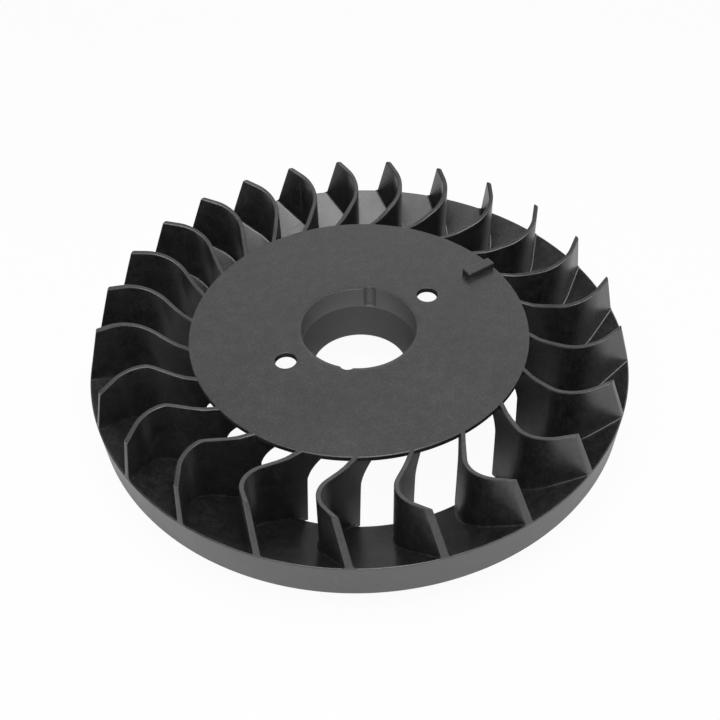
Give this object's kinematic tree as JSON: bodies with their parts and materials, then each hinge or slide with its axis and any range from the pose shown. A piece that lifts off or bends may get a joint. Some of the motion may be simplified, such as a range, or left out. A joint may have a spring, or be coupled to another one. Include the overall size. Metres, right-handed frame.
{
  "type": "engine flywheel fan",
  "caption": "Black moulded plastic flywheel fan for a small engine: flat bolted disc, bent radial blades and a conical outer ring.",
  "frame": {"origin": "centre of the circle that the blades' feet lie on, on the shaft axis", "axes": "+Z along the shaft axis, out of the disc's top face; +X towards the locating lug"},
  "size_m": [0.1906, 0.1906, 0.045],
  "materials": {
    "black_plastic": "satin"
  },
  "bodies": {
    "root": {"flywheel_fan": "black_plastic"}
  },
  "joints": []
}
